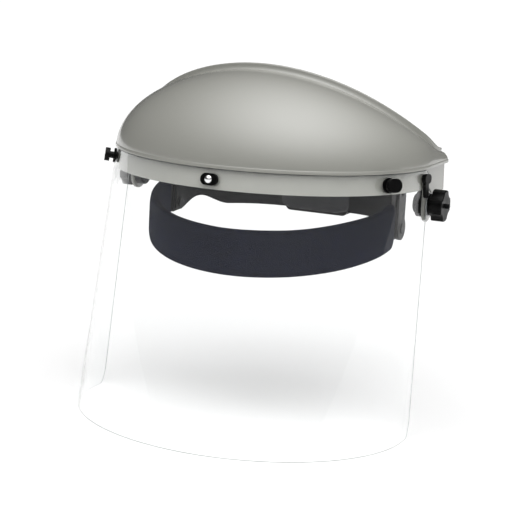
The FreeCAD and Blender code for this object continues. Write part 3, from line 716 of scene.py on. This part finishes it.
def swell(obj, cap, pressure=4.0, frames=20):
    """Fills a closed soft shape by cloth pressure, moving no point more than CAP."""
    rest = np.array([v.co[:] for v in obj.data.vertices])
    cloth = obj.modifiers.new("cloth", "CLOTH")
    cloth.settings.use_pressure = True
    cloth.settings.uniform_pressure_force = pressure
    cloth.settings.effector_weights.gravity = 0.0
    cloth.point_cache.frame_start, cloth.point_cache.frame_end = 1, frames
    for frame in range(1, frames + 1):
        bpy.context.scene.frame_set(frame)
    graph = bpy.context.evaluated_depsgraph_get()
    moved = obj.evaluated_get(graph).to_mesh()
    now = np.array([v.co[:] for v in moved.vertices])
    obj.evaluated_get(graph).to_mesh_clear()
    obj.modifiers.clear()
    step = now - rest
    size = np.linalg.norm(step, axis=1, keepdims=True)
    rest = rest + step * np.minimum(1.0, cap / np.maximum(size, 1e-9))
    bpy.context.scene.frame_set(1)
    obj.data.vertices.foreach_set("co", rest.astype(np.float32).ravel())
    obj.data.update()
    mod = obj.modifiers.new("round", "SUBSURF")
    mod.levels = mod.render_levels = 1
    apply_modifiers(obj)
    obj.data.shade_smooth()


class SHIELD_OT_sweatband(bpy.types.Operator):
    """Build the padded fabric sweatband over the headband"""
    bl_idname = "shield.sweatband"
    bl_label = "Sweatband"

    def execute(self, context):
        h = context.scene.shield_headgear
        loops = []
        for i in range(121):
            u = -1.0 + 2.0 * i / 120
            close = 1.0 - 0.55 * max(0.0, (abs(u) - 0.965) / 0.035) ** 2
            loop = []
            for j in range(32):
                a = 2.0 * math.pi * j / 32
                c, s = math.cos(a), math.sin(a)
                across = math.copysign(abs(c) ** 0.6, c) * (h.pad_out + h.pad_in) / 2.0 * 0.8 * close
                rise = math.copysign(abs(s) ** 0.45, s) * h.pad_height / 2.0 * 0.95 * close
                p, n = band_line(u, (h.pad_out - h.pad_in) / 2.0 + across)
                loop.append(p + Vector((0.0, 0.0, rise)))
            loops.append(loop)
        pad = solid_from_loops("sweatband_pad", loops)
        swell(pad, 2.0 * MM)
        f = Finish("navy_cloth", Roughness=0.92, Sheen_Weight=0.02, Sheen_Roughness=0.45,
                   Sheen_Tint=(0.25, 0.35, 0.75, 1.0), Specular_IOR_Level=0.08)
        cloth = tuple(h.cloth)
        clouds = f.spread(f.noise(28.0, 4.0), 0.0, 1.0)
        tufts = f.spread(f.noise(1400.0, 2.0), 0.0, 1.0, 0.35, 0.65)
        base = f.shades(clouds, lighter(cloth, 0.75), lighter(cloth, 1.5))
        f.to(f.shades(tufts, base, lighter(cloth, 2.2)), "Base Color")
        f.bump(f.noise(260.0, 3.0), 0.25, 0.0006)
        f.bump(f.noise(1400.0, 2.0), 0.6, 0.0004)
        f.on(pad)
        mate(pad, "headgear", "navy_fabric", "sweatband")
        return {"FINISHED"}


class SHIELD_OT_nape(bpy.types.Operator):
    """Build the soft pad on the ratchet case"""
    bl_idname = "shield.nape"
    bl_label = "Nape pad"

    def execute(self, context):
        low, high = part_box("nape_pad")
        low, high = Vector(low), Vector(high)
        mid, half = (low + high) / 2.0, (high - low) / 2.0
        loops = []
        for i in range(9):
            k = -1.0 + 2.0 * i / 8
            inset = 1.0 - 0.12 * k * k
            loop = []
            for j in range(64):
                a = 2.0 * math.pi * j / 64
                c, s = math.cos(a), math.sin(a)
                loop.append(Vector((mid.x + math.copysign(abs(c) ** 0.5, c) * half.x * inset * 0.97,
                                    mid.y + half.y * 0.8 * k,
                                    mid.z + math.copysign(abs(s) ** 0.5, s) * half.z * inset * 0.97)))
            loops.append(loop)
        pad = solid_from_loops("nape_cushion", loops)
        swell(pad, 1.0 * MM)
        f = Finish("foam_cloth", Roughness=0.9, Sheen_Weight=0.2, Sheen_Roughness=0.5)
        tone = tuple(context.scene.shield_headgear.foam)
        f.to(f.shades(f.spread(f.noise(40.0), 0.0, 1.0), tone, lighter(tone, 1.8)), "Base Color")
        f.bump(f.cells(1200.0), 0.5, 0.0003)
        f.on(pad)
        mate(pad, "headgear", "foam", "nape_pad")
        return {"FINISHED"}


# ---- stage ------------------------------------------------------------------------------------------
class SHIELD_OT_stage(bpy.types.Operator):
    """Set the camera, the pale floor and the soft light"""
    bl_idname = "shield.stage"
    bl_label = "Camera, floor and light"

    def execute(self, context):
        s = context.scene.shield_stage
        self.camera(context, s)
        self.floor(s)
        self.lights(context)
        return {"FINISHED"}

    def camera(self, context, s):
        ahead = Vector((-math.sin(s.turn) * math.cos(s.rise), math.cos(s.turn) * math.cos(s.rise),
                        -math.sin(s.rise)))
        right = Vector((math.cos(s.turn), math.sin(s.turn), 0.0))
        up = right.cross(ahead)
        across = right * math.cos(s.roll) + up * math.sin(s.roll)
        upward = up * math.cos(s.roll) - right * math.sin(s.roll)
        data = bpy.data.cameras.new("camera")
        data.lens, data.sensor_width = s.lens, 36.0
        data.clip_end = 20.0
        camera = bpy.data.objects.new("camera", data)
        turn = Matrix((across, upward, -ahead)).transposed().to_4x4()
        aim = Vector((0.0, SHIFT, s.aim))
        camera.matrix_world = Matrix.Translation(aim - ahead * s.away) @ turn
        context.scene.collection.objects.link(camera)
        context.scene.camera = camera

    def floor(self, s):
        """A wide round floor."""
        points = [(0.0, 0.0, 0.0)]
        points += [(s.reach * math.cos(math.pi * i / 48), s.reach * math.sin(math.pi * i / 48), 0.0)
                   for i in range(96)]
        floor = new_mesh("floor", points, [(0, i + 1, (i + 1) % 96 + 1) for i in range(96)])
        f = Finish("floor_paper", Roughness=0.9, Specular_IOR_Level=0.1)
        tone = tuple(s.floor)
        f.to(f.shades(f.spread(f.noise(3.0), 0.0, 1.0), tone, lighter(tone, 1.01)), "Base Color")
        f.on(floor)

    def lights(self, context):
        """One broad soft light over the front, fading out all round, in front of a plain white backdrop."""
        s = context.scene.shield_stage
        world = bpy.data.worlds.new("studio")
        world.use_nodes = True
        tree = world.node_tree
        facing = tree.nodes.new("ShaderNodeTexCoord").outputs["Generated"]
        steps = (("ShaderNodeVectorMath", "DOT_PRODUCT", Vector(LIGHT_FROM).normalized()),
                 ("ShaderNodeMath", "MAXIMUM", 0.0), ("ShaderNodeMath", "POWER", s.focus),
                 ("ShaderNodeMath", "MULTIPLY", s.key), ("ShaderNodeMath", "ADD", s.fill))
        for kind, operation, value in steps:
            node = tree.nodes.new(kind)
            node.operation = operation
            tree.links.new(facing, node.inputs[0])
            node.inputs[1].default_value = value
            facing = node.outputs["Value"]
        # the backdrop is white where it is seen directly or through the clear sheet
        path = tree.nodes.new("ShaderNodeLightPath").outputs
        for seen in ("Is Camera Ray", "Is Transmission Ray"):
            node = tree.nodes.new("ShaderNodeMath")
            node.operation = "MAXIMUM"
            tree.links.new(facing, node.inputs[0])
            tree.links.new(path[seen], node.inputs[1])
            facing = node.outputs["Value"]
        tree.links.new(facing, tree.nodes["Background"].inputs["Strength"])
        tree.nodes["Background"].inputs["Color"].default_value = (1.0, 1.0, 1.0, 1.0)
        context.scene.world = world
        context.scene.view_settings.view_transform = "Standard"
        context.scene.view_settings.look = "Medium High Contrast"


class SHIELD_PT_panel(bpy.types.Panel):
    """Builders and sizes of the face shield"""
    bl_idname = "SHIELD_PT_panel"
    bl_label = "Face Shield"
    bl_space_type = "VIEW_3D"
    bl_region_type = "UI"
    bl_category = "Face Shield"

    def draw(self, context):
        for operator in OPERATORS:
            self.layout.operator(operator.bl_idname)
        for name in GROUPS:
            group = getattr(context.scene, name)
            box = self.layout.box()
            for prop in group.bl_rna.properties.keys():
                if prop not in ("name", "rna_type"):
                    box.prop(group, prop)


OPERATORS = (SHIELD_OT_crown, SHIELD_OT_window, SHIELD_OT_fittings, SHIELD_OT_headgear,
             SHIELD_OT_sweatband, SHIELD_OT_nape, SHIELD_OT_stage)
GROUPS = {"shield_wall": WallSizes, "shield_crown": CrownSizes, "shield_window": WindowSizes,
          "shield_headgear": HeadgearSizes, "shield_tones": MouldedTones, "shield_stage": StageSizes}


def register():
    for cls in tuple(GROUPS.values()) + OPERATORS + (SHIELD_PT_panel,):
        bpy.utils.register_class(cls)
    for name, group in GROUPS.items():
        setattr(bpy.types.Scene, name, bpy.props.PointerProperty(type=group))


def unregister():
    for name in GROUPS:
        delattr(bpy.types.Scene, name)
    for cls in (SHIELD_PT_panel,) + OPERATORS[::-1] + tuple(GROUPS.values()):
        bpy.utils.unregister_class(cls)


def main():
    register()
    bpy.ops.shield.crown()
    bpy.ops.shield.window()
    bpy.ops.shield.fittings()
    bpy.ops.shield.headgear()
    bpy.ops.shield.sweatband()
    bpy.ops.shield.nape()
    bpy.ops.shield.stage()


if __name__ == "__main__":
    main()
